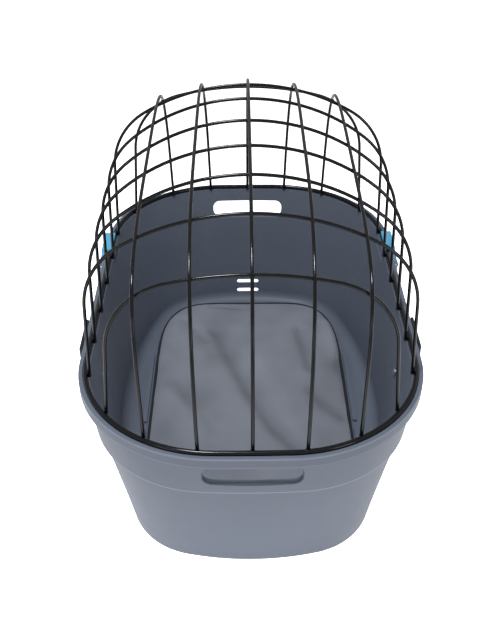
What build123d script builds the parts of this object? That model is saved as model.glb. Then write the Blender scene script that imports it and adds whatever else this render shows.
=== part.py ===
from build123d import *
from math import acos, atan2, cos, degrees, hypot, radians, sin, sqrt, tan
import os

os.makedirs("parts", exist_ok=True)

# Driving dimensions, in millimetres and degrees.
# X is across the basket, -Y is its front, and Z = 0 is the surface that it stands on.

# Tub
rim_width = 350.0
rim_length = 532.0
rim_corner = 141.5
rim_side_radius = 100000.0
rim_end_radius = 2000.0
rim_height = 179.5
lip_depth = 12.0
lip_overhang = 4.5
lip_wall = 4.2
lip_edge_round = 1.2
wall = 3.2
side_draft = 2.8
end_draft = 7.2
base_corner = 87.0
base_side_radius = 487.0
base_end_radius = 297.0
step_height = 123.0
step_width = 3.6
floor_top = 10.0
floor_thickness = 3.2
floor_round = 14.0
base_round = 9.0
foot_rim = 17.0

# Underside grooves for the tubes of a carrier, and slots for its clamp bolts
carrier_spacing = 162.0
groove_width = 8.0
groove_height = 5.0
rail_wall = 3.0
clamp_slot_pitch = 180.0
clamp_slot_length = 30.0
clamp_slot_width = 7.0
cross_rib_count = 5
cross_rib_pitch = 82.5

# Hand holes in both end walls, slots in the rear wall, slits in the side walls
hand_hole_width = 94.0
hand_hole_height = 24.0
hand_hole_corner = 9.0
hand_hole_drop = 31.0
hand_hole_bevel = 2.0
strap_slot_width = 31.0
strap_slot_height = 6.0
strap_slot_drop = 142.0
strap_slot_pitch = 14.0
slit_length = 42.0
slit_height = 5.0
slit_drop = 11.5

# Floor beads beside the cushion
bead_spacing = 256.0
bead_length = 200.0
bead_width = 5.0
bead_height = 3.0
bead_gap = 14.0
bead_gap_place = -40.0

# Wire guard
ring_wire = 5.0
ring_proud = 0.6
wire = 3.5
ring_clearance = 0.8
seat_margin = 1.0
seat_clearance = 0.3
weld_sink = 0.25
hoop_count = 8
hoop_pitch = 55.7
guard_height = 196.0
guard_rake = 0.04
guard_shift = -6.0
end_drop = 35.0
end_power = 4
crown_radius = 200.0
crown_radius_end = 330.0
shoulder_radius = 85.0
shoulder_radius_end = 75.0
leg_inward = 3.0
leg_inward_end = 6.0
rib_count = 5
rib_pitch = 50.0
end_hoop_rise = 1.3
rib_leg = 40.0
rib_lean = 3.0
rib_splay = 1.2

# Latches
latch_place = guard_shift + 2 * hoop_pitch
latch_length = 40.0
latch_gap = 0.3
latch_wall = 3.0
latch_pin = 3.0
latch_knuckle = 8.0
latch_drop = 17.0
latch_tab = 11.0
tab_thickness = 2.6
tongue_thickness = 2.4
tongue_reach = 12.5
pin_clearance = 0.3
pin_seat = 0.05
lug_thickness = 4.0

# Guard keepers and their screws
keeper_place = -77.0
keeper_length = 52.0
keeper_wall = 3.0
keeper_round = 10.0
screw_place = -86.0
screw_drop = 49.0
screw_shank = 4.0
screw_head = 9.0
screw_head_height = 1.8
screw_clearance = 0.2
screw_lean = 5.5

# Cushion
cushion_width = 244.0
cushion_length = 424.0
cushion_height = 16.0
cushion_corner = 62.0
cushion_tuck = 5.0
cushion_crown = 34.0

# Sizes and places that follow from the driving dimensions
ring_inset = lip_wall + ring_clearance + ring_wire / 2
ring_height = rim_height + ring_proud
seat_height = ring_height - ring_wire / 2 - seat_clearance
wire_foot = ring_height - ring_wire / 2 + weld_sink
leg_inset = ring_inset + ring_wire / 2 + wire / 2 - weld_sink
inner_inset = leg_inset - wire / 2 + seat_margin
band_inset = lip_overhang
lower_inset = band_inset + step_width
lip_bottom = rim_height - lip_depth
pivot_side = rim_width / 2 + latch_gap + latch_knuckle / 2
pivot_height = ring_height - latch_drop


def save(part, name):
    """Labels a finished piece and writes it as its own file."""
    part.label = name
    export_step(part, f"parts/{name}.step")


class Oval:
    """A rounded plan of eight tangent arcs: two sides, two ends and four corners between them."""

    def __init__(self, side, end, side_radius, end_radius, corner):
        self.side, self.end, self.corner = side, end, corner
        self.side_radius, self.end_radius = side_radius, end_radius
        self.side_centre, self.end_centre = side - side_radius, end - end_radius
        between = hypot(self.side_centre, self.end_centre)
        from_side, from_end = side_radius - corner, end_radius - corner
        along = (from_side**2 - from_end**2 + between**2) / (2 * between)
        away = sqrt(from_side**2 - along**2)
        toward_x, toward_y = -self.side_centre / between, self.end_centre / between
        self.corner_x = self.side_centre + along * toward_x - away * toward_y
        self.corner_y = along * toward_y + away * toward_x
        self.side_turn = degrees(atan2(self.corner_y, self.corner_x - self.side_centre))
        self.end_turn = degrees(atan2(self.corner_y - self.end_centre, self.corner_x))

    def draw(self):
        """Draws the plan, arc after arc, as a face of the open sketch."""
        corner_size = self.end_turn - self.side_turn
        with BuildLine() as outline:
            for half in (1, -1):
                start = 0 if half == 1 else 180
                CenterArc(
                    (half * self.side_centre, 0),
                    self.side_radius,
                    start - self.side_turn,
                    2 * self.side_turn,
                )
                CenterArc(
                    (half * self.corner_x, half * self.corner_y),
                    self.corner,
                    start + self.side_turn,
                    corner_size,
                )
                CenterArc(
                    (0, half * self.end_centre),
                    self.end_radius,
                    start + self.end_turn,
                    180 - 2 * self.end_turn,
                )
                CenterArc(
                    (-half * self.corner_x, half * self.corner_y),
                    self.corner,
                    start + 180 - self.end_turn,
                    corner_size,
                )
        make_face(outline.edges())

    def across(self, place):
        """Half the plan's width at a place along it."""
        place = abs(place)
        if place > self.side_radius * sin(radians(self.side_turn)):
            return self.corner_x + sqrt(self.corner**2 - (place - self.corner_y) ** 2)
        return self.side_centre + sqrt(self.side_radius**2 - place**2)

    def along(self, place):
        """Half the plan's length at a place across it."""
        place = abs(place)
        if place > self.end_radius * cos(radians(self.end_turn)):
            return self.corner_y + sqrt(self.corner**2 - (place - self.corner_x) ** 2)
        return self.end_centre + sqrt(self.end_radius**2 - place**2)


def section(inset, height):
    """The tub's plan at a height: straighter at the rim, more oval towards the base."""
    depth = rim_height - height
    share = depth / rim_height
    side = rim_width / 2 - depth * tan(radians(side_draft))
    end = rim_length / 2 - depth * tan(radians(end_draft))
    side_radius = 1 / ((1 - share) / rim_side_radius + share / base_side_radius)
    end_radius = 1 / ((1 - share) / rim_end_radius + share / base_end_radius)
    corner = rim_corner + (base_corner - rim_corner) * share
    return Oval(side - inset, end - inset, side_radius - inset, end_radius - inset, corner - inset)


def plan(inset, height):
    """Draws the tub's plan at a height, this far inside the rim's outer face."""
    section(inset, height).draw()


def flat_plan(inset):
    """Draws the rim's plan, offset inwards, without the walls' draft."""
    section(inset, rim_height).draw()


# Tub: the drafted wall, its outer step, the lip with the ring's seat, and the floor
with BuildPart() as tub:
    with BuildSketch(Plane.XY):
        plan(lower_inset, 0)
    with BuildSketch(Plane.XY.offset(step_height)):
        plan(lower_inset, step_height)
    loft(ruled=True)
    fillet(tub.faces().sort_by(Axis.Z)[0].edges(), base_round)
    with BuildSketch(Plane.XY.offset(step_height)):
        plan(band_inset, step_height)
    with BuildSketch(Plane.XY.offset(lip_bottom)):
        plan(band_inset, lip_bottom)
    loft(ruled=True)
    with BuildSketch(Plane.XY.offset(lip_bottom)):
        flat_plan(0)
    extrude(amount=lip_depth)
    fillet(tub.faces().sort_by(Axis.Z)[-1].edges(), lip_edge_round)
    with BuildPart(mode=Mode.PRIVATE) as hollow:
        with BuildSketch(Plane.XY.offset(floor_top)):
            plan(inner_inset, floor_top)
        with BuildSketch(Plane.XY.offset(seat_height)):
            plan(inner_inset, seat_height)
        loft(ruled=True)
        fillet(hollow.faces().sort_by(Axis.Z)[0].edges(), floor_round)
    add(hollow.part, mode=Mode.SUBTRACT)
    with BuildSketch(Plane.XY.offset(seat_height)):
        flat_plan(lip_wall)
    extrude(amount=rim_height - seat_height, mode=Mode.SUBTRACT)

    # Underside: a foot rim round a hollow, with rails and ribs under the floor
    with BuildSketch(Plane.XY):
        plan(lower_inset + foot_rim, 0)
        with GridLocations(carrier_spacing, 0, 2, 1):
            Rectangle(groove_width + 2 * rail_wall, rim_length, mode=Mode.SUBTRACT)
        with GridLocations(0, cross_rib_pitch, 1, cross_rib_count):
            Rectangle(rim_width, rail_wall, mode=Mode.SUBTRACT)
    extrude(amount=floor_top - floor_thickness, mode=Mode.SUBTRACT)
    with BuildSketch(Plane.XY):
        with GridLocations(carrier_spacing, 0, 2, 1):
            Rectangle(groove_width, rim_length)
    extrude(amount=groove_height, mode=Mode.SUBTRACT)

    # Floor beads beside the cushion, each with one gap
    with BuildSketch(Plane.XY.offset(floor_top - floor_thickness / 2)):
        with GridLocations(bead_spacing, 0, 2, 1):
            SlotOverall(bead_length, bead_width, rotation=90)
        with Locations((0, bead_gap_place)):
            Rectangle(rim_width, bead_gap, mode=Mode.SUBTRACT)
    extrude(amount=floor_thickness / 2 + bead_height)

    # Lugs that carry the latch pins
    lug_root = section(band_inset, pivot_height).side - wall / 2
    for along in (-1, 1):
        with BuildSketch(Plane.XZ.offset(-latch_place + along * (latch_length / 2 + latch_gap))):
            for side in (-1, 1):
                with Locations((side * pivot_side, pivot_height)):
                    Circle(latch_knuckle / 2)
                with Locations((side * (pivot_side + lug_root) / 2, pivot_height)):
                    Rectangle(pivot_side - lug_root, latch_knuckle)
        extrude(amount=along * lug_thickness)
    with BuildSketch(Plane.XZ.offset(-latch_place)):
        for side in (-1, 1):
            with Locations((side * pivot_side, pivot_height)):
                Circle(latch_pin / 2 + pin_seat)
    extrude(amount=latch_length, both=True, mode=Mode.SUBTRACT)

    # Holes through the walls
    with BuildSketch(Plane.XZ):
        with Locations((0, ring_height - hand_hole_drop)):
            RectangleRounded(hand_hole_width, hand_hole_height, hand_hole_corner)
    extrude(amount=rim_length, both=True, mode=Mode.SUBTRACT)
    hole_height = ring_height - hand_hole_drop
    hole_end = section(band_inset, hole_height).end
    for half in (-1, 1):
        outer_face = Plane(
            origin=(0, half * hole_end, hole_height),
            x_dir=(1, 0, 0),
            z_dir=(0, -half * cos(radians(end_draft)), sin(radians(end_draft))),
        )
        with BuildSketch(outer_face):
            RectangleRounded(
                hand_hole_width + 2 * hand_hole_bevel,
                hand_hole_height + 2 * hand_hole_bevel,
                hand_hole_corner + hand_hole_bevel,
            )
        extrude(amount=hand_hole_bevel, taper=45, mode=Mode.SUBTRACT)
    with BuildSketch(Plane.XZ):
        with Locations((0, ring_height - strap_slot_drop - strap_slot_pitch / 2)):
            with GridLocations(0, strap_slot_pitch, 1, 2):
                SlotOverall(strap_slot_width, strap_slot_height)
    extrude(amount=-rim_length, mode=Mode.SUBTRACT)
    with BuildSketch(Plane.YZ):
        with Locations((latch_place, ring_height - slit_drop)):
            SlotOverall(slit_length, slit_height)
    extrude(amount=rim_width, both=True, mode=Mode.SUBTRACT)
    with BuildSketch(Plane.XY):
        with GridLocations(carrier_spacing, clamp_slot_pitch, 2, 2):
            SlotOverall(clamp_slot_length, clamp_slot_width)
    extrude(amount=floor_top + bead_height, mode=Mode.SUBTRACT)
    with BuildSketch(Plane.YZ):
        with Locations((screw_place, ring_height - screw_drop)):
            Circle(screw_shank / 2 + screw_clearance)
    extrude(amount=rim_width, both=True, mode=Mode.SUBTRACT)
save(tub.part, "tub")

# Guard: the base ring that lies in the rim's seat
with BuildPart() as ring:
    with BuildSketch(Plane.XY.offset(ring_height), mode=Mode.PRIVATE) as outline:
        flat_plan(ring_inset)
    path = outline.sketch.face().outer_wire()
    with BuildSketch(Plane(origin=path @ 0, z_dir=path % 0)):
        Circle(ring_wire / 2)
    sweep(path=path)
save(ring.part, "base_ring")

# Guard: the hoops, each an arch of two legs, two shoulders and a crown
feet = section(leg_inset, rim_height)
end_place = hoop_pitch * (hoop_count - 1) / 2


class Arch:
    """The shape of the hoop at one place along the basket: leaning legs, round shoulders and a crown."""

    def __init__(self, place):
        share = (abs(place - guard_shift) / end_place) ** end_power
        self.side = feet.across(place)
        self.top = ring_height + guard_height - end_drop * share + guard_rake * place
        self.crown = crown_radius + (crown_radius_end - crown_radius) * share
        self.shoulder = shoulder_radius + (shoulder_radius_end - shoulder_radius) * share
        inward = leg_inward + (leg_inward_end - leg_inward) * share
        self.crown_centre = self.top - self.crown
        self.shoulder_side = self.side - inward - self.shoulder
        rise = sqrt((self.crown - self.shoulder) ** 2 - self.shoulder_side**2)
        self.shoulder_centre = self.crown_centre + rise
        self.crown_turn = degrees(atan2(rise, self.shoulder_side))
        drop, out = wire_foot - self.shoulder_centre, self.side - self.shoulder_side
        self.leg_turn = degrees(atan2(drop, out) + acos(self.shoulder / hypot(drop, out)))

    def height(self, across):
        """Height of the crown's centre line at a place across the basket."""
        return self.crown_centre + sqrt(self.crown**2 - across**2)


hoop_places = [guard_shift + (n - (hoop_count - 1) / 2) * hoop_pitch for n in range(hoop_count)]
for number, place in enumerate(hoop_places, 1):
    arch = Arch(place)
    bend = arch.crown_turn - arch.leg_turn
    with BuildPart() as hoop:
        with BuildLine(Plane.XZ.offset(-place)) as centre:
            right = CenterArc(
                (arch.shoulder_side, arch.shoulder_centre),
                arch.shoulder,
                arch.leg_turn,
                bend,
            )
            CenterArc((0, arch.crown_centre), arch.crown, arch.crown_turn, 180 - 2 * arch.crown_turn)
            left = CenterArc(
                (-arch.shoulder_side, arch.shoulder_centre),
                arch.shoulder,
                180 - arch.crown_turn,
                bend,
            )
            Line((arch.side, wire_foot), right @ 0)
            Line(left @ 1, (-arch.side, wire_foot))
        path = centre.wire()
        with BuildSketch(Plane(origin=path @ 0, z_dir=path % 0)):
            Circle(wire / 2)
        sweep(path=path)
    save(hoop.part, f"hoop_{number}")


# Guard: the ribs, which lie over the hoops and end inside the ring
def rise_over(place):
    """How far a rib's centre stands above a hoop's, more where it slopes down over the end hoops."""
    return (wire - weld_sink) * (end_hoop_rise if place in (hoop_places[0], hoop_places[-1]) else 1.0)


for number in range(1, rib_count + 1):
    across = (number - (rib_count + 1) / 2) * rib_pitch
    end = feet.along(across)
    splay = radians(rib_splay) * (across > 0) - radians(rib_splay) * (across < 0)
    foot = (across, 0, wire_foot)
    upright = Plane(origin=foot, x_dir=(0, 1, 0), z_dir=(cos(splay), 0, -sin(splay)))
    top = across + guard_height * tan(splay)
    crossings = [Arch(place).height(top) + rise_over(place) for place in hoop_places]
    over = [(place, height - wire_foot) for place, height in zip(hoop_places, crossings)]
    with BuildPart() as rib:
        with BuildLine(upright) as centre:
            Spline(
                (-end, 0),
                (rib_lean - end, rib_leg),
                *over,
                (end - rib_lean, rib_leg),
                (end, 0),
            )
        with BuildSketch(Plane(origin=centre.line @ 0, z_dir=centre.line % 0)):
            Circle(wire / 2)
        sweep(path=centre.line)
    save(rib.part, f"rib_{number}")

# Latches: a lever on a pin outside each side of the rim, with a springy tongue over the ring
tongue_under = ring_height + ring_wire / 2 + latch_gap
tongue_middle = tongue_under + tongue_thickness / 2
inner_face = rim_width / 2 + latch_gap
tab_side = pivot_side + (latch_knuckle - tab_thickness) / 2
for name, side in (("left", -1), ("right", 1)):
    middle = Plane.XZ.offset(-latch_place)
    with BuildPart() as lever:
        with BuildSketch(middle):
            with Locations((side * pivot_side, pivot_height)):
                Circle(latch_knuckle / 2)
            with Locations((side * (inner_face + latch_wall / 2), (pivot_height + tongue_under) / 2)):
                Rectangle(latch_wall, tongue_under - pivot_height)
            with Locations((side * tab_side, pivot_height - latch_tab / 2)):
                Rectangle(tab_thickness, latch_tab)
            with Locations((side * pivot_side, pivot_height)):
                Circle(latch_pin / 2 + pin_clearance, mode=Mode.SUBTRACT)
        extrude(amount=latch_length / 2, both=True)
    save(lever.part, f"latch_lever_{name}")

    with BuildPart() as tongue:
        with BuildSketch(middle):
            with Locations((side * (inner_face + latch_wall - tongue_reach / 2), tongue_middle)):
                Rectangle(tongue_reach, tongue_thickness)
        extrude(amount=latch_length / 2, both=True)
        fillet(tongue.edges().filter_by(Axis.Y).group_by(Axis.Z)[-1], tongue_thickness / 2)
    save(tongue.part, f"latch_tongue_{name}")

    with BuildPart() as pin:
        with BuildSketch(middle):
            with Locations((side * pivot_side, pivot_height)):
                Circle(latch_pin / 2)
        extrude(amount=latch_length / 2 + latch_gap + lug_thickness, both=True)
    save(pin.part, f"latch_pin_{name}")

# Keepers: brackets that follow the side walls and wrap the lip, each held by a screw from inside
screw_height = ring_height - screw_drop


def ruled_side(inset, low, high, place):
    """Half the width between two plans at the screw's height, on the ruled wall that joins them."""
    share = (screw_height - low) / (high - low)
    lower, upper = section(inset, low), section(inset, high)
    ends = [plan.side_radius * sin(radians(plan.side_turn)) for plan in (lower, upper)]
    part = place / (ends[0] * (1 - share) + ends[1] * share)
    return lower.across(part * ends[0]) * (1 - share) + upper.across(part * ends[1]) * share


with BuildPart() as screws:
    head_lean = screw_head / 2 * tan(radians(side_draft + screw_lean))
    inner_side = ruled_side(inner_inset, floor_top, seat_height, screw_place) - head_lean
    outer_side = ruled_side(band_inset, step_height, lip_bottom, screw_place)
    for side in (-1, 1):
        with BuildSketch(Plane.YZ.offset(side * outer_side)):
            with Locations((screw_place, screw_height)):
                Circle(screw_shank / 2)
        extrude(amount=side * (inner_side - outer_side))
        with BuildSketch(Plane.YZ.offset(side * inner_side)):
            with Locations((screw_place, screw_height)):
                Circle(screw_head / 2)
        extrude(amount=-side * screw_head_height)
save(screws.part, "keeper_screws")

with BuildPart(mode=Mode.PRIVATE) as band_gap:
    with BuildSketch(Plane.XY.offset(step_height)):
        plan(band_inset - latch_gap, step_height)
    with BuildSketch(Plane.XY.offset(lip_bottom)):
        plan(band_inset - latch_gap, lip_bottom)
    loft(ruled=True)
    with BuildSketch(Plane.XY.offset(lip_bottom - latch_gap)):
        flat_plan(-latch_gap)
    extrude(amount=rim_height - lip_bottom + latch_gap)
for name, side in (("left", -1), ("right", 1)):
    with BuildPart() as keeper:
        with BuildSketch(Plane.XY.offset(step_height)):
            plan(band_inset - latch_gap - keeper_wall, step_height)
        with BuildSketch(Plane.XY.offset(lip_bottom)):
            plan(band_inset - latch_gap - keeper_wall, lip_bottom)
        loft(ruled=True)
        with BuildSketch(Plane.XY.offset(lip_bottom - latch_gap - keeper_wall)):
            flat_plan(-latch_gap - keeper_wall)
        extrude(amount=rim_height - lip_bottom + latch_gap + keeper_wall)
        add(band_gap.part, mode=Mode.SUBTRACT)
        with BuildSketch(Plane.XY.offset(step_height + latch_gap)):
            with Locations((side * rim_width / 2, keeper_place)):
                Rectangle(rim_width / 2, keeper_length)
        extrude(amount=rim_height, mode=Mode.INTERSECT)
        fillet(keeper.edges().filter_by(Axis.X).group_by(Axis.Z)[0], keeper_round)
    save(keeper.part, f"keeper_{name}")

# Cushion: drawn in under its edge and crowned above it
with BuildPart() as cushion:
    sections = (
        (0.0, cushion_tuck),
        (0.35, 0.0),
        (0.7, cushion_tuck),
        (1.0, cushion_crown),
    )
    for share, tuck in sections:
        with BuildSketch(Plane.XY.offset(floor_top + seat_clearance + share * cushion_height)):
            RectangleRounded(cushion_width - 2 * tuck, cushion_length - 2 * tuck, cushion_corner - tuck)
    loft(ruled=True)
save(cushion.part, "cushion")
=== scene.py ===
# %% [markdown]
# # A dog's bicycle basket
#
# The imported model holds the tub, the wire guard, the latches, the brackets and a plain block for the cushion.
# This lesson gives each of them its finish, lays a soft cushion in the block's place, adds the small welds of
# the guard, and sets the camera, the light and the floor.

import bmesh
import bpy
import numpy as np
from math import radians
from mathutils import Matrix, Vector
from mathutils.bvhtree import BVHTree


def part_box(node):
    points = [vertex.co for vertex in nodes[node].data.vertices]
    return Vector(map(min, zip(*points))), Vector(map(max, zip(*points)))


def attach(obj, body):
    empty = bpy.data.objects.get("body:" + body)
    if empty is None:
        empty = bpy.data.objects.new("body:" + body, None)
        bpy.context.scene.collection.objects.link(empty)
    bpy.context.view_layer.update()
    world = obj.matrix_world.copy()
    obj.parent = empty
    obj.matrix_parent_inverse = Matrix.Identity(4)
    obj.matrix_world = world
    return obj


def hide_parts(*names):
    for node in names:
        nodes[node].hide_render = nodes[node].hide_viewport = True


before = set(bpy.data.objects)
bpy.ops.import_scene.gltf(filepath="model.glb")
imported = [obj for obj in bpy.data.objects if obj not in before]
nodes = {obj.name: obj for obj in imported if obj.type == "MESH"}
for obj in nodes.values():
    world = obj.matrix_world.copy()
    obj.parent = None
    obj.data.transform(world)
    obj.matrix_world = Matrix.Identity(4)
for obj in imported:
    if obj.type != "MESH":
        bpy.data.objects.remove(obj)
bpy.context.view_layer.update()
print("nodes:", len(nodes))

# %% [markdown]
# ## Sizes that come from the frame
#
# Nothing is measured twice. The ring's height, the cushion's block and the wire's thickness are read from the
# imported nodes, so the new pieces still fit if the model changes.

# %% Read sizes from the nodes
ring_low, ring_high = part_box("base_ring")
ring_height = (ring_low.z + ring_high.z) / 2
block_low, block_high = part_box("cushion")
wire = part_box("hoop_4")[1].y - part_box("hoop_4")[0].y
hoops = sorted(name for name in nodes if name.startswith("hoop_"))
ribs = sorted(name for name in nodes if name.startswith("rib_"))
print("ring height", round(ring_height, 4), "wire", round(wire, 4), len(hoops), "hoops", len(ribs), "ribs")


def node_points(name):
    """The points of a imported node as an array."""
    return np.array([corner.co for corner in nodes[name].data.vertices])


# %% [markdown]
# ## The camera
#
# The photograph looks down on the basket from in front. Its camera was worked out from the outline of the
# ring, which is flat and of known shape. The focal length in pixels becomes a lens length, because Blender's
# sensor width spans the longer side of the image.

# %% Set up the camera
image_width, image_height = 502, 642
focal_pixels = 873.0
camera_pitch = radians(36.0)
camera_turn = -0.013
camera_place = Vector((-0.009, -0.822, ring_height + 0.556))
sensor = 36.0

camera_data = bpy.data.cameras.new("camera")
camera_data.sensor_width = sensor
camera_data.lens = focal_pixels * sensor / image_height
camera_data.clip_start = 0.05
camera = bpy.data.objects.new("camera", camera_data)
camera.location = camera_place
camera.rotation_euler = (radians(90) - camera_pitch, 0.0, camera_turn)
bpy.context.scene.collection.objects.link(camera)
bpy.context.scene.camera = camera
bpy.context.view_layer.update()
print("lens", round(camera_data.lens, 2), "mm")

# %% [markdown]
# Some folds of the cushion are placed where the photograph shows them. A pixel becomes a ray from the camera,
# and the ray is followed down to the height of the cushion's top.


# %% Turn a pixel into a place
def place_at(pixel, height):
    """Where the ray through a pixel meets a level plane: the camera's place plus the ray times its length."""
    across = (pixel[0] - image_width / 2) / focal_pixels
    up = (image_height / 2 - pixel[1]) / focal_pixels
    ray = camera.matrix_world.to_3x3() @ Vector((across, up, -1.0))
    found = camera_place + ray * ((height - camera_place.z) / ray.z)
    return np.array([found.x, found.y])


print("middle of the picture at the ring's height:", place_at((251, 321), ring_height).round(3))

# %% [markdown]
# ## Node groups that several finishes share
#
# Moulded plastic, coated wire and cloth all vary a little from place to place. One group gives slow colour
# variation and one gives a fine grain for the bump. Each finish places them with its own values.


# %% Helpers for shader nodes
def new_group(name, inputs, outputs):
    """Starts a shader node group with named number inputs and named outputs."""
    group = bpy.data.node_groups.new(name, "ShaderNodeTree")
    for label, start in inputs:
        socket = group.interface.new_socket(name=label, in_out="INPUT", socket_type="NodeSocketFloat")
        socket.default_value = start
    for label, kind in outputs:
        group.interface.new_socket(name=label, in_out="OUTPUT", socket_type=kind)
    return group, group.nodes.new("NodeGroupInput"), group.nodes.new("NodeGroupOutput")


def math_node(tree, operation, first, second=None):
    """Adds a Math node and links or sets its two inputs."""
    made = tree.nodes.new("ShaderNodeMath")
    made.operation = operation
    for socket, value in zip(made.inputs, (first, second)):
        if isinstance(value, bpy.types.NodeSocket):
            tree.links.new(value, socket)
        elif value is not None:
            socket.default_value = value
    return made.outputs[0]


def noise(tree, vector, scale, detail=3.0):
    """Adds a Noise Texture and returns its value output."""
    made = tree.nodes.new("ShaderNodeTexNoise")
    made.inputs["Detail"].default_value = detail
    tree.links.new(vector, made.inputs["Vector"])
    if isinstance(scale, bpy.types.NodeSocket):
        tree.links.new(scale, made.inputs["Scale"])
    else:
        made.inputs["Scale"].default_value = scale
    return made.outputs[0]


# %% The mottle group: slow, soft variation
mottle_detail = 4.0
mottle, mottle_in, mottle_out = new_group(
    "mottle", [("Scale", 12.0), ("Amount", 0.1)], [("Value", "NodeSocketFloat")]
)
mottle_place = mottle.nodes.new("ShaderNodeTexCoord").outputs["Object"]
mottle_field = noise(mottle, mottle_place, mottle_in.outputs["Scale"], mottle_detail)
mottle_centred = math_node(mottle, "SUBTRACT", mottle_field, 0.5)
mottle_scaled = math_node(mottle, "MULTIPLY", mottle_centred, mottle_in.outputs["Amount"])
mottle.links.new(math_node(mottle, "ADD", mottle_scaled, 1.0), mottle_out.inputs["Value"])
print("group:", mottle.name)

# %% The grain group: two sizes of fine texture for a bump
grain_detail = 2.0
coarse_share = 0.13
grain, grain_in, grain_out = new_group(
    "grain", [("Scale", 900.0), ("Coarse", 0.35)], [("Height", "NodeSocketFloat")]
)
grain_place = grain.nodes.new("ShaderNodeTexCoord").outputs["Object"]
grain_fine = noise(grain, grain_place, grain_in.outputs["Scale"], grain_detail)
grain_step = math_node(grain, "MULTIPLY", grain_in.outputs["Scale"], coarse_share)
grain_coarse = noise(grain, grain_place, grain_step, grain_detail)
grain_wide = math_node(grain, "MULTIPLY", grain_coarse, grain_in.outputs["Coarse"])
grain.links.new(math_node(grain, "ADD", grain_fine, grain_wide), grain_out.inputs["Height"])
print("group:", grain.name)


# %% [markdown]
# ## A finish
#
# Every finish starts from the same small recipe: a base colour times the mottle, a roughness with its own
# mottle, and a bump from the grain. What is the same all over a surface is set on the shader's own socket.


# %% Build a finish
tint_scale = 14.0
gloss_scale, gloss_variation = 55.0, 0.35
bump_strength = 0.6


def finish_material(name, colour, roughness, variation, grain_scale, grain_depth, **sockets):
    """Makes a Principled material: colour and roughness vary slowly, and a fine grain bumps the surface."""
    material = bpy.data.materials.new(name)
    material.use_nodes = True
    tree = material.node_tree
    shader = tree.nodes["Principled BSDF"]
    for label, value in sockets.items():
        shader.inputs[label.replace("_", " ")].default_value = value
    tint = tree.nodes.new("ShaderNodeGroup")
    tint.node_tree = mottle
    tint.inputs["Scale"].default_value = tint_scale
    tint.inputs["Amount"].default_value = variation
    base = tree.nodes.new("ShaderNodeVectorMath")
    base.operation = "SCALE"
    base.inputs[0].default_value = colour
    tree.links.new(tint.outputs["Value"], base.inputs["Scale"])
    tree.links.new(base.outputs["Vector"], shader.inputs["Base Color"])
    gloss = tree.nodes.new("ShaderNodeGroup")
    gloss.node_tree = mottle
    gloss.inputs["Scale"].default_value = gloss_scale
    gloss.inputs["Amount"].default_value = gloss_variation
    tree.links.new(math_node(tree, "MULTIPLY", gloss.outputs["Value"], roughness), shader.inputs["Roughness"])
    texture = tree.nodes.new("ShaderNodeGroup")
    texture.node_tree = grain
    texture.inputs["Scale"].default_value = grain_scale
    bump = tree.nodes.new("ShaderNodeBump")
    bump.inputs["Strength"].default_value = bump_strength
    bump.inputs["Distance"].default_value = grain_depth
    tree.links.new(texture.outputs["Height"], bump.inputs["Height"])
    tree.links.new(bump.outputs["Normal"], shader.inputs["Normal"])
    return material


def vary_colour(material, factor):
    """Multiplies the value that scales a finish's colour by one more value of the same material."""
    tree = material.node_tree
    base = next(node for node in tree.nodes if node.type == "VECT_MATH" and node.operation == "SCALE")
    tint = base.inputs["Scale"].links[0].from_socket
    tree.links.new(math_node(tree, "MULTIPLY", tint, factor), base.inputs["Scale"])


def dress(material, *names):
    """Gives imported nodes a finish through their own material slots."""
    for name in names:
        for place in nodes[name].material_slots:
            place.material = material
    print(material.name, "on", len(names), "nodes")


# %% [markdown]
# ## Plastics and metals
#
# The tub is injection moulded in grey-blue with a fine satin grain. The wires are dipped in a black coating
# that pulls smooth and shines. The latches are a glossier light blue, the brackets black, the small screws
# and pins bright zinc.

# %% Tub plastic
tub_plastic = finish_material(
    "tub_plastic", (0.166, 0.189, 0.240), 0.46, 0.06, 1500.0, 0.00012, Specular_IOR_Level=0.42
)
dress(tub_plastic, "tub")

# %% [markdown]
# In the photograph the tub's outer edges catch a thin line of light: along the step, under the lip and round
# the rim. The lamps here don't bring it out, so the lines are painted into the base colour, on the faces that
# look outwards. The step's and the lip's edges are level, so each is found as the height where the tub has the
# most points.

# %% Heights of the level edges
step_band, lip_band = (0.5, 0.8), (0.85, 0.96)
line_width = 0.0011
tub_points = node_points("tub")
levels, how_often = np.unique(np.round(tub_points[:, 2], 4), return_counts=True)
rim_top = float(levels[-1])


def edge_level(band):
    """The height with the most points between two shares of the tub's own height."""
    inside = (levels > band[0] * rim_top) & (levels < band[1] * rim_top)
    return float(levels[inside][np.argmax(how_often[inside])])


edge_lines = (
    (edge_level(step_band) + line_width, 0.9),
    (edge_level(lip_band) + line_width, 0.45),
    (rim_top - line_width, 0.8),
)
print("edge lines at", [round(edge, 4) for edge, _ in edge_lines])

# %% Faces that look outwards
outward_least = 0.02
tub_tree = tub_plastic.node_tree
tub_place = tub_tree.nodes.new("ShaderNodeTexCoord")
split = tub_tree.nodes.new("ShaderNodeSeparateXYZ")
tub_tree.links.new(tub_place.outputs["Object"], split.inputs[0])
level = tub_tree.nodes.new("ShaderNodeVectorMath")
level.operation = "MULTIPLY"
level.inputs[1].default_value = (1.0, 1.0, 0.0)
tub_tree.links.new(tub_place.outputs["Object"], level.inputs[0])
facing = tub_tree.nodes.new("ShaderNodeVectorMath")
facing.operation = "DOT_PRODUCT"
tub_tree.links.new(level.outputs["Vector"], facing.inputs[0])
tub_tree.links.new(tub_place.outputs["Normal"], facing.inputs[1])
outside = math_node(tub_tree, "GREATER_THAN", facing.outputs["Value"], outward_least)
print("the mask keeps what faces outwards by more than", outward_least)


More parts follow.
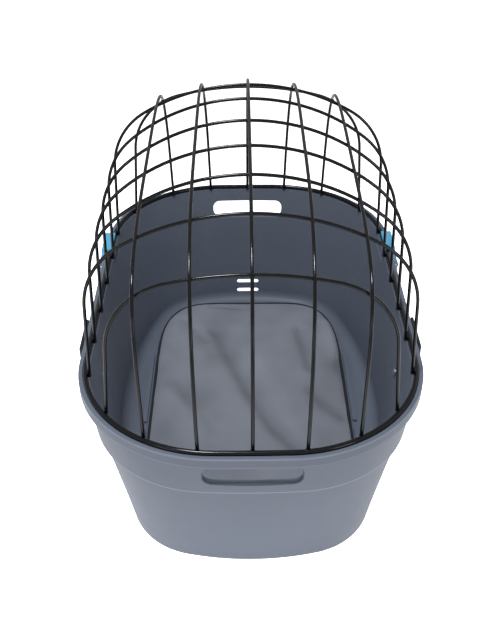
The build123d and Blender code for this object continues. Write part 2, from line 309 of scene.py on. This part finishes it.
# %% Bright lines along the edges
def bright_line(edge, strength):
    """Strength times one minus the distance from the edge's height over the line's width, or nothing."""
    away = math_node(tub_tree, "SUBTRACT", split.outputs["Z"], edge)
    near = math_node(tub_tree, "ABSOLUTE", math_node(tub_tree, "DIVIDE", away, line_width))
    fade = math_node(tub_tree, "MAXIMUM", math_node(tub_tree, "SUBTRACT", 1.0, near), 0.0)
    return math_node(tub_tree, "MULTIPLY", fade, strength)


lines = bright_line(*edge_lines[0])
for edge_line in edge_lines[1:]:
    lines = math_node(tub_tree, "ADD", lines, bright_line(*edge_line))
gain = math_node(tub_tree, "ADD", math_node(tub_tree, "MULTIPLY", lines, outside), 1.0)
vary_colour(tub_plastic, gain)
print(len(edge_lines), "bright lines on", tub_plastic.name)

# %% Wire coating
wire_coating = finish_material(
    "wire_coating", (0.003, 0.003, 0.004), 0.14, 0.2, 300.0, 0.000008, Specular_IOR_Level=0.5
)
dress(wire_coating, "base_ring", *hoops, *ribs)

# %% Latches, brackets and zinc
sky_plastic = finish_material("sky_plastic", (0.12, 0.52, 0.80), 0.30, 0.1, 1200.0, 0.00005)
dress(sky_plastic, *(f"latch_{part}_{side}" for part in ("lever", "tongue") for side in ("left", "right")))
bracket_plastic = finish_material("bracket_plastic", (0.014, 0.014, 0.016), 0.44, 0.15, 1300.0, 0.0001)
dress(bracket_plastic, "keeper_left", "keeper_right")
bright_zinc = finish_material("bright_zinc", (0.58, 0.59, 0.62), 0.33, 0.1, 800.0, 0.00004, Metallic=1.0)
dress(bright_zinc, "keeper_screws", "latch_pin_left", "latch_pin_right")

# %% [markdown]
# ## Surfaces from a grid
#
# Each new piece is a function of two parameters. A grid of points becomes a mesh with one quadrilateral for
# each cell, and a direction that closes on itself joins its last column to its first.


# %% Make a mesh from a grid
def grid_faces(rows, columns, wrap_rows=False, wrap_columns=False):
    """Corner numbers of each cell: the point, its right neighbour, the one above that, and the one above."""
    row = np.arange(rows if wrap_rows else rows - 1)
    column = np.arange(columns if wrap_columns else columns - 1)
    row, column = np.meshgrid(row, column, indexing="ij")
    up, right = (row + 1) % rows, (column + 1) % columns
    corners = (row * columns + column, row * columns + right, up * columns + right, up * columns + column)
    return np.stack(corners, -1).reshape(-1, 4)


def add_mesh(name, points, faces, material, body):
    """Makes a smooth-shaded piece from points and faces, dresses it and lets it ride on a body."""
    mesh = bpy.data.meshes.new(name)
    mesh.from_pydata(points.reshape(-1, 3).tolist(), [], faces.tolist())
    mesh.validate()
    mesh.polygons.foreach_set("use_smooth", np.ones(len(mesh.polygons), bool))
    mesh.materials.append(material)
    piece = bpy.data.objects.new(name, mesh)
    bpy.context.scene.collection.objects.link(piece)
    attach(piece, body)
    print(name, len(mesh.polygons), "faces")
    return piece


# %% [markdown]
# ## Cushion cloth
#
# The cover is a plain grey non-shiny weave. Two crossed waves make the threads, and a broad, soft noise makes
# the hand-sized shading that a thin cloth has. The soft light alone leaves the folds too faint, so the base
# colour is also painted darker in valleys and lighter on ridges, by an attribute of the cushion's own. The
# seam's tape is sewn piping, and its near-black colour is painted shade for the gap along the pad's edge.

# %% Cushion cloth
thread_scale, thread_distortion = 260.0, 1.2
cushion_cloth = finish_material(
    "cushion_cloth", (0.296, 0.312, 0.358), 0.88, 0.34, 700.0, 0.0003, Sheen_Weight=0.2, Sheen_Roughness=0.5
)
cloth_tree = cushion_cloth.node_tree
cloth_bump = next(node for node in cloth_tree.nodes if node.type == "BUMP")
cloth_place = cloth_tree.nodes.new("ShaderNodeTexCoord").outputs["Object"]
threads = []
for direction in ("X", "Y"):
    thread = cloth_tree.nodes.new("ShaderNodeTexWave")
    thread.bands_direction = direction
    thread.inputs["Scale"].default_value = thread_scale
    thread.inputs["Distortion"].default_value = thread_distortion
    cloth_tree.links.new(cloth_place, thread.inputs["Vector"])
    threads.append(thread.outputs["Fac"])
weave = math_node(cloth_tree, "MULTIPLY", math_node(cloth_tree, "ADD", *threads), 0.5)
fibres = cloth_bump.inputs["Height"].links[0].from_socket
cloth_tree.links.new(math_node(cloth_tree, "ADD", weave, fibres), cloth_bump.inputs["Height"])
fold_shade = cloth_tree.nodes.new("ShaderNodeAttribute")
fold_shade.attribute_name = "fold_shade"
vary_colour(cushion_cloth, fold_shade.outputs["Fac"])
print("weave on", cushion_cloth.name)

# %% Dark binding of the cushion's seam, its colour painted shade
# Near-black: painted shade standing for the shadow in the gap along the pad's edge.
binding_painted_shade = finish_material("binding_painted_shade", (0.022, 0.023, 0.028), 0.9, 0.2, 700.0, 0.0003)
print("binding:", binding_painted_shade.name)

# %% [markdown]
# ## The cushion
#
# It is a thin pad, sewn round its edge, that lies a little loose on the floor. A cloth simulation could make
# it, but a formula puts the folds where the photograph shows them. The plan is a square grid squeezed at the
# corners. Height falls to the seam as the square root of two flat curves, so the top is level in the middle
# and rolls over at the sides. Each fold is given as pixels along it, its height and its width.

# %% Plan and height of the pad
pad_inset = 0.0015
seam_share = 0.38
pad_steps = 150
corner_squeeze = 0.25
pad_centre = (block_low + block_high) / 2
pad_half = (block_high - block_low) / 2 - Vector((pad_inset, pad_inset, 0.0))
pad_floor = block_low.z
pad_seam = pad_floor + seam_share * (block_high.z - block_low.z)
pad_top = block_high.z - pad_inset
print("seam", round(pad_seam, 4), "top", round(pad_top, 4))


def pad_plan(u, v):
    """Squeezed square: x = half width times u times sqrt(1 - c v^6), and y the same way round."""
    x = pad_centre.x + pad_half.x * u * np.sqrt(1 - corner_squeeze * v**6)
    y = pad_centre.y + pad_half.y * v * np.sqrt(1 - corner_squeeze * u**6)
    return x, y


def roll(u, v):
    """One in the middle, nothing at the seam: the square root of (1 - u^10)(1 - v^10)."""
    return np.sqrt(np.clip((1 - u**10) * (1 - v**10), 0, 1))


# %% Folds
fold_lines = (
    (((218, 330), (232, 356), (250, 390), (276, 424), (310, 456)), -0.0068, 0.0110),
    (((252, 352), (284, 398)), 0.0030, 0.016),
    (((222, 372), (250, 420)), 0.0022, 0.018),
    (((300, 328), (312, 366)), -0.0046, 0.009),
    (((328, 320), (338, 350)), 0.0055, 0.010),
    (((340, 352), (352, 392)), -0.0046, 0.008),
    (((214, 303), (240, 305)), -0.0040, 0.006),
    (((172, 328), (196, 352)), 0.0036, 0.014),
    (((184, 318), (206, 338)), -0.0030, 0.008),
    (((314, 388), (344, 412)), -0.0044, 0.010),
    (((166, 392), (196, 436)), 0.0036, 0.016),
    (((180, 380), (214, 428)), -0.0028, 0.010),
    (((150, 344), (146, 400)), -0.0036, 0.010),
    (((334, 368), (322, 442)), -0.0034, 0.032),
    (((158, 350), (164, 430)), -0.0028, 0.022),
)
deepest_fold = -0.0085


def line_gap(x, y, start, end):
    """Distance to a piece of line: the point's own place less the nearest place along the line."""
    run = end - start
    along = np.clip(((x - start[0]) * run[0] + (y - start[1]) * run[1]) / np.sum(run**2), 0, 1)
    return np.hypot(x - start[0] - along * run[0], y - start[1] - along * run[1])


def fold(x, y, pixels, height, width):
    """A ridge along a bent line: height times the bell curve of the distance to the line over its width."""
    places = [place_at(pixel, pad_top) for pixel in pixels]
    gap = np.minimum.reduce([line_gap(x, y, *pair) for pair in zip(places, places[1:])])
    return height * np.exp(-((gap / width) ** 2))


def folds(x, y):
    """The sum of all ridges and valleys, no deeper than the pad allows."""
    return np.maximum(sum(fold(x, y, *line) for line in fold_lines), deepest_fold)


print(len(fold_lines), "folds, deepest", deepest_fold)

# %% [markdown]
# Between the folds the thin cloth is never quite flat. Low waves of random length and direction give it small
# wrinkles. They aren't copied from the photograph, and a fixed seed makes them come out the same every time.

# %% Small wrinkles
wave_count = 18
wave_random = np.random.default_rng(7)
wave_turn = wave_random.uniform(0, np.pi, wave_count)
wave_length = wave_random.uniform(0.024, 0.100, wave_count)
wave_start = wave_random.uniform(0, 2 * np.pi, wave_count)
wave_height = 0.0042


def ripple(x, y):
    """Sum of low waves of random direction: height share times length times sine of the way along each."""
    way = x[..., None] * np.cos(wave_turn) + y[..., None] * np.sin(wave_turn)
    return np.sum(wave_height * wave_length * np.sin(2 * np.pi * way / wave_length + wave_start), -1)


print(wave_count, "waves,", round(wave_length.min(), 3), "to", round(wave_length.max(), 3), "m long")

# %% Build the pad
pad_slack, side_fullness, highest_fold = 0.0012, 1.15, 0.003
parameter = np.sin(np.linspace(-1, 1, pad_steps) * np.pi / 2)
pad_u, pad_v = np.meshgrid(parameter, parameter, indexing="xy")
pad_x, pad_y = pad_plan(pad_u, pad_v)
pad_roll = roll(pad_u, pad_v)
creases = folds(pad_x, pad_y) + ripple(pad_x, pad_y)
upper = pad_seam + (pad_top - pad_seam) * pad_roll + creases * pad_roll - pad_slack
lower = pad_seam - (pad_seam - pad_floor) * np.minimum(1, side_fullness * pad_roll)
top_points = np.stack((pad_x, pad_y, np.minimum(upper, block_high.z + highest_fold)), -1).reshape(-1, 3)
low_points = np.stack((pad_x, pad_y, lower), -1).reshape(-1, 3)
sheet_faces = grid_faces(pad_steps, pad_steps)
pad_faces = np.vstack((sheet_faces, sheet_faces[:, ::-1] + len(top_points)))
cushion_pad = add_mesh(
    "cushion_pad", np.vstack((top_points, low_points)), pad_faces, cushion_cloth, "tub_body"
)

# %% [markdown]
# The painted shade is taken a little to one side of the folds, so that the flank away from the high lamp is
# the darker one. It's part of the colour and doesn't follow the light.

# %% Shade of the folds
shade_shift = 0.0035
valley_depth, valley_shade = 0.0085, 0.34
ridge_height, ridge_shade = 0.0060, 0.10
ripple_share, shade_level = 1.3, 0.0010
shifted_folds = folds(pad_x + shade_shift, pad_y + shade_shift)
shade_folds = shifted_folds + ripple_share * ripple(pad_x, pad_y) - shade_level
valley = np.clip(-shade_folds / valley_depth, 0, 1) * valley_shade
ridge = np.clip(shade_folds / ridge_height, 0, 1) * ridge_shade
shade = np.concatenate(((1 - valley + ridge).ravel(), np.ones(len(low_points))))
cushion_pad.data.attributes.new("fold_shade", "FLOAT", "POINT").data.foreach_set("value", shade)
print("shade from", round(float(shade.min()), 2), "to", round(float(shade.max()), 2))

# %% Close the pad at its seam
seam_join = 0.00005
pad_mesh = bmesh.new()
pad_mesh.from_mesh(cushion_pad.data)
bmesh.ops.remove_doubles(pad_mesh, verts=pad_mesh.verts, dist=seam_join)
bmesh.ops.recalc_face_normals(pad_mesh, faces=pad_mesh.faces)
pad_mesh.to_mesh(cushion_pad.data)
pad_mesh.free()
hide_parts("cushion")
print("cushion points", len(cushion_pad.data.vertices))

# %% [markdown]
# The cover's two halves are joined by a narrow piped seam: a round profile carried once round the plan.


# %% Carry a round profile along a closed path
def tube_round(path, radius, sides=10):
    """Path point plus radius times (cos t, sin t) in the plane of the outward direction and the vertical."""
    ahead = np.roll(path, -1, 0) - np.roll(path, 1, 0)
    ahead /= np.linalg.norm(ahead, axis=1, keepdims=True)
    outward = np.stack((ahead[:, 1], -ahead[:, 0], np.zeros(len(path))), -1)
    upward = np.cross(outward, ahead)
    turn = np.linspace(0, 2 * np.pi, sides, endpoint=False)
    ring = np.cos(turn)[None, :, None] * outward[:, None] + np.sin(turn)[None, :, None] * upward[:, None]
    return path[:, None] + radius * ring


def rim_path(steps):
    """The pad's edge as a path: the four sides of the square one after another."""
    side = np.linspace(-1, 1, steps, endpoint=False)
    full = np.ones(steps)
    u = np.concatenate((side, full, -side, -full))
    v = np.concatenate((-full, side, full, -side))
    x, y = pad_plan(u, v)
    return np.stack((x, y, np.full_like(x, pad_seam)), -1)


# %% Build the piping
piping_radius = 0.0019
piping_steps = 90
piping_points = tube_round(rim_path(piping_steps), piping_radius)
piping_faces = grid_faces(*piping_points.shape[:2], True, True)
# The piping wears the dark binding, which paints the shade along the pad's edge.
add_mesh("cushion_piping", piping_points, piping_faces, binding_painted_shade, "tub_body")

# %% [markdown]
# ## Welds of the guard
#
# Where a rib crosses a hoop the wires are welded, and the coating fills the corner with a small smooth bead.
# Each bead is a flattened ball between the two wires, on the top of the hoop, which a ray dropped from above
# finds. The wires' feet have the same bead where they meet the ring.


# %% Find the crossings
def surface_height(name, x, y):
    """Height of a node's top surface under a point, found by a ray from above."""
    mesh = nodes[name].data
    tree = BVHTree.FromPolygons([v.co for v in mesh.vertices], [p.vertices for p in mesh.polygons])
    return tree.ray_cast(Vector((x, y, 1.0)), Vector((0, 0, -1)))[0].z


def rib_line(name):
    """Slope and start of the line of a rib's place across over its height, as it lies in a leaning plane."""
    points = node_points(name)
    return np.polyfit(points[:, 2], points[:, 0], 1)


weld_places = []
guard_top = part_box("rib_3")[1].z
for rib in ribs:
    slope, start = rib_line(rib)
    for hoop in hoops:
        hoop_low, hoop_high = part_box(hoop)
        y = (hoop_low.y + hoop_high.y) / 2
        top = surface_height(hoop, slope * guard_top + start, y)
        weld_places.append((slope * top + start, y, top))
print("crossings:", len(weld_places))

# %% Find the feet
foot_band, foot_rise = 0.5, 0.4


def feet_of(name, axis):
    """The middle of the points near a wire's lower ends, on either side of zero along an axis."""
    points = node_points(name)
    low = points[points[:, 2] < points[:, 2].min() + foot_band * wire]
    return [low[low[:, axis] * side > 0].mean(0) + (0, 0, foot_rise * wire) for side in (-1, 1)]


feet = [foot for names, axis in ((hoops, 0), (ribs, 1)) for name in names for foot in feet_of(name, axis)]
weld_places = np.vstack((weld_places, feet))
print("feet:", len(feet))

# %% Build the weld beads
bead_rings, bead_sides = 7, 12
bead_shares = (0.62, 0.62, 0.30)
bead_tilt = np.linspace(0, np.pi, bead_rings)
bead_turn = np.linspace(0, 2 * np.pi, bead_sides, endpoint=False)
bead_size = np.array(bead_shares) * wire
bead_shape = np.stack(
    (
        np.outer(np.sin(bead_tilt), np.cos(bead_turn)),
        np.outer(np.sin(bead_tilt), np.sin(bead_turn)),
        np.outer(-np.cos(bead_tilt), np.ones(bead_sides)),
    ),
    -1,
)
bead_points = (bead_shape * bead_size)[None] + weld_places[:, None, None]
bead_count = bead_rings * bead_sides
one_bead = grid_faces(bead_rings, bead_sides, False, True)
bead_faces = (one_bead[None] + bead_count * np.arange(len(weld_places))[:, None, None]).reshape(-1, 4)
add_mesh("guard_welds", bead_points, bead_faces, wire_coating, "guard")

# %% [markdown]
# ## Floor, backdrop and light
#
# The floor is white and wide. Near the basket it glows a little, which brightens the lower walls as a lit
# table does. To the camera the floor and the world behind it are plain white, as in the photograph, while the
# basket keeps a soft light. A small lamp high up gives most of it, and two low ones light the front.

# %% Floor
floor_reach = 6.0
floor_colour, floor_roughness = (0.86, 0.86, 0.87, 1.0), 0.9
floor_glow, glow_reach = 1.15, 0.95
white = (1.0, 1.0, 1.0, 1.0)
floor_mesh = bpy.data.meshes.new("floor")
floor_corners = np.array([(-1, -1, 0), (1, -1, 0), (1, 1, 0), (-1, 1, 0)]) * floor_reach
floor_mesh.from_pydata(floor_corners.tolist(), [], [(0, 1, 2, 3)])
floor = bpy.data.objects.new("floor", floor_mesh)
bpy.context.scene.collection.objects.link(floor)
floor_paint = bpy.data.materials.new("floor_paint")
floor_paint.use_nodes = True
floor_tree = floor_paint.node_tree
floor_shader = floor_tree.nodes["Principled BSDF"]
floor_shader.inputs["Base Color"].default_value = floor_colour
floor_shader.inputs["Roughness"].default_value = floor_roughness
floor_shader.inputs["Emission Color"].default_value = white
floor_place = floor_tree.nodes.new("ShaderNodeTexCoord").outputs["Object"]
floor_distance = floor_tree.nodes.new("ShaderNodeVectorMath")
floor_distance.operation = "LENGTH"
floor_tree.links.new(floor_place, floor_distance.inputs[0])
floor_part = math_node(floor_tree, "DIVIDE", floor_distance.outputs["Value"], glow_reach)
floor_near = math_node(floor_tree, "MAXIMUM", math_node(floor_tree, "SUBTRACT", 1.0, floor_part), 0.0)
floor_bounce = math_node(floor_tree, "MULTIPLY", floor_near, floor_glow)
floor_seen = floor_tree.nodes.new("ShaderNodeLightPath").outputs["Is Camera Ray"]
floor_total = math_node(floor_tree, "ADD", floor_seen, floor_bounce)
floor_tree.links.new(floor_total, floor_shader.inputs["Emission Strength"])
floor_mesh.materials.append(floor_paint)
print("floor glows to", glow_reach, "m")

# %% World
world_level = 0.35
world = bpy.data.worlds.new("studio")
world.use_nodes = True
bpy.context.scene.world = world
world_tree = world.node_tree
background = world_tree.nodes["Background"]
background.inputs["Color"].default_value = white
seen = world_tree.nodes.new("ShaderNodeLightPath").outputs["Is Camera Ray"]
extra = math_node(world_tree, "MULTIPLY", seen, 1.0 - world_level)
strength = math_node(world_tree, "ADD", extra, world_level)
world_tree.links.new(strength, background.inputs["Strength"])
print("world level", world_level)

# %% Lamps
daylight = (0.90, 0.95, 1.0)


def soft_lamp(name, place, aim, size, power):
    """Adds a square area lamp, a little cool like daylight, that points at a place."""
    lamp = bpy.data.lights.new(name, "AREA")
    lamp.color = daylight
    lamp.size = size
    lamp.energy = power
    holder = bpy.data.objects.new(name, lamp)
    holder.location = place
    holder.rotation_euler = (Vector(aim) - Vector(place)).to_track_quat("-Z", "Y").to_euler()
    bpy.context.scene.collection.objects.link(holder)
    print(name, power, "W")


soft_lamp("overhead", (-0.30, -0.40, 1.9), (0, 0.05, 0.1), 0.40, 19.0)
soft_lamp("front_left", (-1.4, -1.9, 0.42), (0, 0, 0.10), 0.6, 2.2)
soft_lamp("front_right", (1.5, -1.8, 0.42), (0, 0, 0.10), 0.6, 4.0)

# %% View settings and the end
bpy.context.scene.view_settings.view_transform = "Standard"
